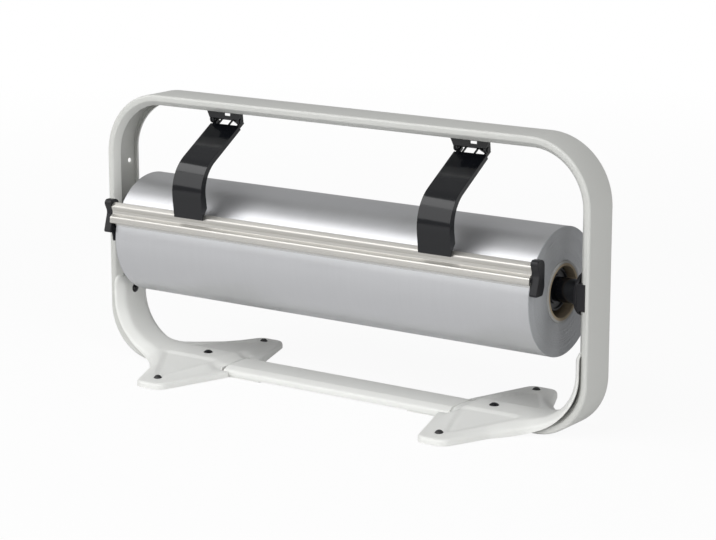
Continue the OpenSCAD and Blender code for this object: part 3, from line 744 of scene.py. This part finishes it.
def distance(points, loop, keep=True):
    """Distance of each point from a closed outline's edges, or from those that keep marks"""
    best = np.full(len(points), 1e9)
    kept = np.broadcast_to(keep, len(loop))
    for p, q in zip(loop[kept], np.roll(loop, -1, axis=0)[kept]):
        d = q - p
        t = np.clip(((points - p) @ d) / max(d @ d, 1e-12), 0, 1)
        best = np.minimum(best, np.linalg.norm(points - p - t[:, None] * d, axis=1))
    return best


def inside(points, loop):
    """Which points lie inside a closed outline"""
    odd = np.zeros(len(points), bool)
    for (x1, y1), (x2, y2) in zip(loop, np.roll(loop, -1, axis=0)):
        if y1 == y2:
            continue
        crosses = (points[:, 1] < y1) != (points[:, 1] < y2)
        odd ^= crosses & (points[:, 0] < (x2 - x1) * (points[:, 1] - y1) / (y2 - y1) + x1)
    return odd


def beyond(u, y, start, end):
    """Distance to the left of the line from start to end"""
    (au, ay), (bu, by) = start, end
    return ((bu - au) * (y - ay) - (by - ay) * (u - au)) / math.hypot(bu - au, by - ay)


def wall_foot(u):
    """Height of the wall's lower edge, which leaves the table and follows the gap by the post"""
    if u <= GAP_U:
        return 0.0
    if u <= BEND_U:
        return GAP_R - math.sqrt(GAP_R ** 2 - (u - GAP_U) ** 2)
    if u >= BEND_U + BEND_L:
        return GAP_END
    angle = (u - BEND_U) / MID_R
    offset = Vector((BEND_U - GAP_U, BEND_R - GAP_R))
    b = offset.dot((math.sin(angle), -math.cos(angle)))
    return BEND_R + b - math.sqrt(b * b - offset.length_squared + GAP_R ** 2)


def foot_height(points, loop, seam_round):
    """Height of the pressed sheet: a raised spine, sunk three-cornered panels, a round rim"""
    u, y = points[:, 0], np.abs(points[:, 1])
    at_start = np.abs(loop[:, 0] - FOOT_START) < 0.01
    out = distance(points, loop, ~(at_start & np.roll(at_start, -1)))
    # The spine climbs from 10 to 14 just past the seam, and falls a little to its sides
    panel = 10 + 4 * eased((u - 140) / 13) - 0.085 * soft_past(y - 16, 3 ** 0.5)
    slants = beyond(u, y, PANEL_LOBE, PANEL_INNER), beyond(u, y, PANEL_OUTER, PANEL_LOBE)
    sunk = soft_less(y - PANEL_INNER[1], soft_less(*slants, 5), 3)
    panel -= PANEL_DEPTH * eased(sunk / 2.3)
    # By the seam the sheet takes the crossbar's folded section
    fold = np.maximum(10 - 0.42 * soft_past(y - 15.5, 1.5 ** 0.5), 6.2)
    like_bar = (1 - eased((u - FOOT_START) / 17)) * (1 - eased((y - 24) / 14))
    panel += (np.minimum(panel, fold) - panel) * like_bar
    # It comes down to the rim within 9 of the outline, and within 19 of the lobe's slanted start
    narrow = eased((u - 208) / 26)
    rim, edge_radius = 6.5 + 1.6 * narrow, 3.2 - 1.6 * narrow
    inner = ((u - LOBE_START) * 0.942 - (y - ARM_HALF) * 0.335) / 19
    share = capped(np.maximum(inner, 0), 0.12) * capped(out / 9, 0.2)
    height = rim + (panel - rim) * np.clip(share, 0, 1) - edge_drop(out, edge_radius)
    return height - edge_drop(np.where(y < ARM_HALF, u - FOOT_START, 9), seam_round)


def foot_place(u, y, height):
    """Where a point of the unrolled foot comes to lie, in mm, on the right side"""
    if u <= BEND_U:
        return (u, y, LIFT + height)
    if u <= BEND_U + BEND_L:
        angle, reach = (u - BEND_U) / MID_R, BEND_R - height
        return (BEND_U + reach * math.sin(angle), y, LIFT + BEND_R - reach * math.cos(angle))
    return (BEND_U + BEND_R - height, y, LIFT + BEND_R + u - BEND_U - BEND_L)


def foot_outline():
    """The unrolled foot's outline as close points"""
    spacing = 2.2
    corners = HALF_FOOT + [(u, -y) for u, y in reversed(HALF_FOOT)]
    loop = rounded(corners, FOOT_RADII + FOOT_RADII[::-1], 10, closed=True)
    dense = []
    for a, b in zip(loop, loop[1:] + loop[:1]):
        count = max(1, round((b - a).length / spacing))
        dense += [tuple(a + (b - a) * k / count) for k in range(count)]
    return np.array(dense)


def foot_points(loop):
    """The outline's points, then rings close inside it for the round rim, then a grid"""
    along = np.roll(loop, -1, axis=0) - np.roll(loop, 1, axis=0)
    along /= np.linalg.norm(along, axis=1)[:, None]
    inward = np.stack([along[:, 1], -along[:, 0]], axis=1)
    if not inside(loop[:1] + 0.5 * inward[:1], loop)[0]:
        inward = -inward
    points = [loop]
    for gap in (0.3, 0.8, 1.5, 2.4, 3.6):
        ring = loop + gap * inward
        points.append(ring[inside(ring, loop) & (distance(ring, loop) > 0.96 * gap)])
    start, half, step, margin = 126, 110.5, 2.6, 4.4
    grid = np.meshgrid(np.arange(start, ARM_END + 3, step), np.arange(-half, half + 0.5, step))
    grid = np.stack([row.ravel() for row in grid], axis=1)
    grid = grid[inside(grid, loop)]
    points.append(grid[distance(grid, loop) > margin])
    return np.concatenate(points)


def foot_mesh(name, side):
    """A foot's outer face: the sheet with its arm bent up, and the wall round its outline"""
    loop = foot_outline()
    edges = [(k, (k + 1) % len(loop)) for k in range(len(loop))]
    points = [Vector(p) for p in foot_points(loop)]
    flat, _, faces, sources, *_ = geometry.delaunay_2d_cdt(points, edges, [], 1, 1e-5)
    heights = foot_height(np.array([tuple(p) for p in flat]), loop, SEAM_ROUND[side])
    vertices = [foot_place(p.x, p.y, h) for p, h in zip(flat, heights)]
    faces = [tuple(f) for f in faces]
    rim = {k: i for i, found in enumerate(sources) for k in found if k < len(loop)}
    row = [rim[k] for k in range(len(loop))]
    tops = heights[row]
    for share in (0.5, 1.0):
        above, row = row, range(len(vertices), len(vertices) + len(loop))
        for (u, y), top in zip(loop, tops):
            low = min(wall_foot(float(u)), top - LEAST_WALL)
            vertices.append(foot_place(u, y, top + (low - top) * share))
        faces += [(above[k], above[n], row[n], row[k]) for k, n in edges]
    mesh = bpy.data.meshes.new(name)
    mesh.from_pydata([(side * x * MM, y * MM, z * MM) for x, y, z in vertices], [], faces)

    def face_up(bm):
        bmesh.ops.recalc_face_normals(bm, faces=bm.faces)
        if sum(f.normal.z * f.calc_area() for f in bm.faces) < 0:
            bmesh.ops.reverse_faces(bm, faces=bm.faces)

    return reshaped(mesh, face_up)


def add_tongue(bm, side):
    """Adds the plate that lies under the crossbar and the upright that carries it"""
    for (x0, x1), (z0, z1) in (((91, 141.5), (0.4, 1.6)), ((139.6, 141.4), (0.5, 9.5))):
        place = Matrix.Translation((side * (x0 + x1) / 2 * MM, 0, (z0 + z1) / 2 * MM))
        size = Matrix.Diagonal(((x1 - x0) * MM, 49.2 * MM, (z1 - z0) * MM, 1))
        made = bmesh.ops.create_cube(bm, size=1, matrix=place @ size)
        edges = list({e for v in made["verts"] for e in v.link_edges})
        bmesh.ops.bevel(bm, geom=edges, offset=0.25 * MM, segments=2, affect="EDGES")


class BuildFeet(bpy.types.Operator):
    """Press the two feet, with their curved arms"""
    bl_idname = "dispenser.build_feet"
    bl_label = "Feet"

    def execute(self, context):
        for label, side in SIDES:
            # The feet take the lightened paint, whose extra lightness is painted light
            foot = piece(f"{label}_foot_pressing", foot_mesh(label, side), "foot_paint")
            wall = foot.modifiers.new("Sheet", "SOLIDIFY")
            wall.thickness = SHEET * MM
            wall.offset = -1
            wall.use_even_offset = True
            settle(foot)
            reshaped(foot.data, lambda bm: add_tongue(bm, side))
            shade(foot.data, math.radians(50))
            stands_for(foot, "frame", f"{label}_foot")
        return {"FINISHED"}


class BuildCrossbar(bpy.types.Operator):
    """Fold the crossbar between the feet"""
    bl_idname = "dispenser.build_crossbar"
    bl_label = "Crossbar"

    def execute(self, context):
        # Skirt's foot, shoulder and top edge, and the places of the bar's ends
        side = [(23.7, 1.0), (23.7, 5.4), (15.5, 8.4)]
        left, right, lift = -0.1374, 0.1394, 1.6
        path = rounded(side + [(-y, z) for y, z in reversed(side)], [2.2, 2.6, 2.6, 2.2], 6)
        outline = [(p.x * MM, (p.y + lift) * MM) for p in strip(path, SHEET)]
        mesh = mesh_of("crossbar_fold", lambda bm: extruded(bm, outline, left, right))
        # The crossbar shares the feet's lightened paint, whose extra lightness is painted light
        bar = piece("crossbar_fold", mesh, "foot_paint")
        stands_for(bar, "frame", "crossbar")
        return {"FINISHED"}


def dome(radius, height, lift, steps=9):
    """Profile of a dome from its edge, at lift, up to its top"""
    ball = (radius ** 2 + height ** 2) / (2 * height)
    angles = [math.asin(radius / ball) * k / steps for k in range(steps, -1, -1)]
    return [(ball * math.sin(a), lift + height - ball + ball * math.cos(a)) for a in angles]


class BuildFasteners(bpy.types.Operator):
    """Set the domed screws and the push-in rubber feet"""
    bl_idname = "dispenser.build_fasteners"
    bl_label = "Fasteners"

    def execute(self, context):
        tree = scatter_tree()
        # Shank and domed head with a plain recess; pad, neck and dome
        screw = [(0, -9.0), (1.7, -9.0), (2.0, -8.6), (2.0, 0.0), (4.8, 0.0)]
        screw += dome(5.0, 2.5, 0.2)[:-1] + [(1.6, 2.5), (1.3, 1.6), (0, 1.5)]
        foot = [(0, 0), (8.2, 0), (8.8, 0.25), (9.0, 0.8), (9.0, 5.0), (8.7, 5.5)]
        foot += [(3.0, 5.5), (3.0, 8.3), (4.1, 8.3)] + dome(4.3, 2.9, 8.5)
        # Places and turns: two screws upright in the feet, two level in the posts, four pads
        upright_x, upright_z, level_z, foot_x, foot_y = 0.177, 0.015, 0.072, 0.1715, 0.0905
        level_x, up, quarter = sizes().frame_width / 2 - 0.0155, (0, 0, 0), math.pi / 2
        screws = [((x, 0, upright_z), up) for x in (-upright_x, upright_x)]
        screws += [((s * level_x, 0, level_z), (0, -s * quarter, 0)) for s in (1, -1)]
        feet = [((x, y, 0), up) for x in (-foot_x, foot_x) for y in (-foot_y, foot_y)]
        for name, profile, places, node, slot, finish in (
            ("domed_screws", screw, screws, "frame_screws", "black_steel", "black_enamel"),
            ("rubber_domes", foot, feet, "rubber_feet", "rubber", "rubber"),
        ):
            part = put(name + "_part", mesh_of(name, lambda bm: turned(bm, profile, 40)))
            points = dots(name, [place for place, _ in places])
            turn = points.attributes.new("turn", "FLOAT_VECTOR", "POINT")
            for row, (_, angles) in zip(turn.data, places):
                row.vector = angles
            made = tree.run(name, points, {"Part": part, "Material": coat(finish)})
            bpy.data.objects.remove(part)
            stands_for(made, "frame", node)
        for node, finish in (("standoff_nuts", "zinc"), ("hinge_pins", "black_enamel")):
            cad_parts[node].material_slots[0].material = coat(finish)
        return {"FINISHED"}


class BuildAxle(bpy.types.Operator):
    """Turn the axle and its plugs, collars and blocks"""
    bl_idname = "dispenser.build_axle"
    bl_label = "Axle"

    def execute(self, context):
        along = Matrix.Translation((0, 0, AXLE_HEIGHT)) @ ALONG_X
        end = 273.5
        tube = [(12, -end), (12, end), (10, end), (10, -end)]
        axle = lathed("axle_tube_turned", tube, along, "black_enamel")
        stands_for(axle, "frame", "axle_tube")
        plug = [
            (12.05, 229), (20.7, 229), (21.5, 229.8), (21.5, 244), (20.5, 245),
            (19.2, 245), (18.6, 243.4), (14.4, 243.4), (13.8, 245), (12.05, 245),
        ]
        collar = [
            (0, end), (20.3, end), (21.2, 273.9), (21.5, 274.7), (21.5, 276.7),
            (20.9, 277.5), (7, 277.5), (7, 285.0), (6.6, 285.5), (0, 285.5),
        ]
        slot = "black_plastic"
        for label, side in SIDES:
            for kind, rim, node in (("plug", plug, "core_plug"), ("collar", collar, "axle_collar")):
                profile = [(radius, side * x) for radius, x in rim]
                made = lathed(f"{label}_{kind}_turned", profile, along, slot)
                stands_for(made, "frame", f"{label}_{node}")
            softened(f"{label}_axle_block", f"{label}_block_moulded", "frame", slot, slot, 0.9)
        return {"FINISHED"}


class BuildRoll(bpy.types.Operator):
    """Wind the paper on its cardboard core"""
    bl_idname = "dispenser.build_roll"
    bl_label = "Roll"

    def execute(self, context):
        s = sizes()
        along = Matrix.Translation((0, s.roll_y, s.roll_z)) @ ALONG_X
        half, radius, bore = s.roll_length / 2 / MM, s.roll_radius / MM, 30.05
        # The winding stops short of the roll's ends, where the layers' rings stand out
        inset, ring_inset, seed = 0.6, 0.8, 11
        end, soft = half - inset, radius - 0.4
        rim = [(bore, -end), (bore, end), (soft, end), (radius, end - 0.5)]
        rim += [(radius, share * half) for share in (0.75, 0.5, 0.25, 0, -0.25, -0.5, -0.75)]
        rim += [(radius, 0.5 - end), (soft, -end)]
        roll = lathed("paper_winding", rim, along, "silver_paper", 192)
        stands_for(roll, "roll", "paper_roll")
        tree = windings_tree()
        width = s.roll_radius - bore * MM
        count = int(width / s.layer_pitch)
        for label, side in SIDES:
            values = {
                "Inner radius": bore * MM,
                "Pitch": width / count,
                "Count": count,
                "Seed": seed + side,
                "Unevenness": 0.12 * MM,
                "Material": coat("paper_edges"),
            }
            rings = tree.run(f"{label}_layer_edges", dots("rings", []), values)
            place = Matrix.Translation((0, 0, side * (half - ring_inset) * MM))
            rings.data.transform(along @ place)
            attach(rings, "roll")
        # The core stands 1 mm out of the paper at each end
        end = half + 1
        core = [(25, 0.4 - end), (25, end - 0.4), (25.4, end), (29.7, end), (30, end - 0.3)]
        core += [(30, 0.3 - end), (29.7, -end), (25.4, -end)]
        tube = lathed("core_tube", core, along, "cardboard", 128)
        stands_for(tube, "roll", "cardboard_core")
        return {"FINISHED"}


class BuildHinges(bpy.types.Operator):
    """Fold the hinge brackets and press the spring arms"""
    bl_idname = "dispenser.build_hinges"
    bl_label = "Hinges and spring arms"

    def execute(self, context):
        look = ("black_steel", "black_enamel")
        for label, _ in SIDES:
            softened(f"{label}_hinge_bracket", f"{label}_bracket_folded", "frame", *look, 0.35, 2)
            # Joining flat triangles first would leave a face across the arm's windows
            softened(f"{label}_spring_arm", f"{label}_arm_pressed", "tear_unit", *look, 0.4,
                     angle=34, joined=False)
        return {"FINISHED"}


class BuildTearBar(bpy.types.Operator):
    """Draw the tear bar and its blade, and mould the end caps"""
    bl_idname = "dispenser.build_tear_bar"
    bl_label = "Tear bar"

    def execute(self, context):
        kinds = [
            ("tear_bar", "tear_bar_drawn", "bar_metal", 0.4, 3, 40),
            ("cutting_blade", "blade_ground", "blade_steel", 0.1, 1, 38),
        ]
        kinds += [(f"{label}_end_cap", f"{label}_cap_moulded", "black_plastic", 0.7, 3, 40)
                  for label, _ in SIDES]
        for node, name, slot, width, segments, angle in kinds:
            softened(node, name, "tear_unit", slot, slot, width, segments, angle)
        return {"FINISHED"}


class BuildStage(bpy.types.Operator):
    """Set the floor, the soft light and the camera"""
    bl_idname = "dispenser.build_stage"
    bl_label = "Stage"

    def add_floor(self, colour):
        reach = 6
        mesh = bpy.data.meshes.new("floor")
        corners = [(-reach, -reach, 0), (reach, -reach, 0), (reach, reach, 0), (-reach, reach, 0)]
        mesh.from_pydata(corners, [], [(0, 1, 2, 3)])
        f = Finish("floor", colour, 0.9, Specular_IOR_Level=0.0)
        f.set("Base Color", f.tints(f.noise(3, 2), 0.86, 0.88))
        # Near the object a share of the floor's own surface keeps the shadow
        near = 1 - f.from_line((0, 0, 0), (1, 1, 0)).above(0.8, 1.4)
        share = f.seen(1 - 0.07 * near, 0.3)
        glow = f.add("ShaderNodeEmission", {}, {"Color": (*colour, 1), "Strength": 1.0})
        inputs = {0: share, 1: Value(f, f.surface.outputs[0]), 2: glow}
        shown = f.add("ShaderNodeMixShader", {}, inputs)
        f.feed(f.tree.nodes["Material Output"].inputs["Surface"], shown)
        mesh.materials.append(f.material)
        put("floor", mesh)

    def add_sky(self, world, colour, strength=0.26, mirrored=0.2):
        """A dim sky that lights the object, with the plain backdrop where it is seen"""
        world.use_nodes = True
        sky, back = Nodes(world.node_tree), world.node_tree.nodes["Background"]
        sky.feed(back.inputs["Color"], (*colour, 1))
        sky.feed(back.inputs["Strength"], strength)
        plain = sky.add("ShaderNodeBackground", {}, {"Color": (*colour, 1), "Strength": 1.0})
        inputs = {0: sky.seen(1, mirrored), 1: Value(sky, back.outputs[0]), 2: plain}
        shown = sky.add("ShaderNodeMixShader", {}, inputs)
        sky.feed(world.node_tree.nodes["World Output"].inputs["Surface"], shown)

    def add_lamps(self):
        """Soft panels, each with its place, width and height in metres and its power"""
        aim = Vector((0, 0, 0.13))
        for name, place, width, height, power in (
            ("softbox", (-0.7, -2.3, 1.25), 4.2, 1.6, 33),
            ("window", (-0.6, -1.4, 2.0), 3.6, 0.85, 27),
            ("side", (3.6, -1.8, 1.7), 0.9, 3.2, 52),
        ):
            lamp = bpy.data.lights.new(name, "AREA")
            lamp.shape = "RECTANGLE"
            lamp.size, lamp.size_y = width, height
            lamp.energy = power
            light = put(name, lamp)
            light.location = place
            light.rotation_euler = (aim - Vector(place)).to_track_quat("-Z", "Y").to_euler()

    def add_camera(self):
        """The photograph's own camera, as solved from the frame's straight edges"""
        turn, rise, away = math.radians(34.66), math.radians(12.83), 2.352
        target = Vector((0.015737, 0, 0.129054))
        sensor, focal_pixels, photo_width = 36, 2347.7, 716
        flat = math.cos(rise)
        back = Vector((math.sin(turn) * flat, -math.cos(turn) * flat, math.sin(rise)))
        camera = put("camera", bpy.data.cameras.new("camera"))
        camera.location = target + away * back
        camera.rotation_euler = back.to_track_quat("Z", "Y").to_euler()
        camera.data.sensor_width = sensor
        camera.data.lens = sensor * focal_pixels / photo_width
        camera.data.clip_end = 50
        return camera

    def execute(self, context):
        scene, colour = context.scene, tuple(colours().backdrop)
        scene.view_settings.view_transform = "Standard"
        self.add_floor(colour)
        scene.world = bpy.data.worlds.new("studio")
        self.add_sky(scene.world, colour)
        self.add_lamps()
        scene.camera = self.add_camera()
        return {"FINISHED"}


class DispenserPanel(bpy.types.Panel):
    """Sizes, colours and builders of the dispenser"""
    bl_idname = "VIEW3D_PT_dispenser"
    bl_label = "Paper roll dispenser"
    bl_space_type = "VIEW_3D"
    bl_region_type = "UI"
    bl_category = "Dispenser"

    def draw(self, context):
        for group in (context.scene.dispenser_sizes, context.scene.dispenser_colours):
            column = self.layout.column()
            for name in group.__annotations__:
                column.prop(group, name)
        for operator in BUILDERS:
            self.layout.operator(operator.bl_idname)


BUILDERS = (
    BuildBand, BuildFeet, BuildCrossbar, BuildFasteners, BuildAxle,
    BuildRoll, BuildHinges, BuildTearBar, BuildStage,
)
CLASSES = (DispenserSizes, DispenserColours, *BUILDERS, DispenserPanel)


def register():
    for kind in CLASSES:
        bpy.utils.register_class(kind)
    bpy.types.Scene.dispenser_sizes = bpy.props.PointerProperty(type=DispenserSizes)
    bpy.types.Scene.dispenser_colours = bpy.props.PointerProperty(type=DispenserColours)


def unregister():
    del bpy.types.Scene.dispenser_sizes
    del bpy.types.Scene.dispenser_colours
    for kind in reversed(CLASSES):
        bpy.utils.unregister_class(kind)


def main():
    register()
    for operator in BUILDERS:
        family, name = operator.bl_idname.split(".")
        getattr(getattr(bpy.ops, family), name)()


if __name__ == "__main__":
    main()
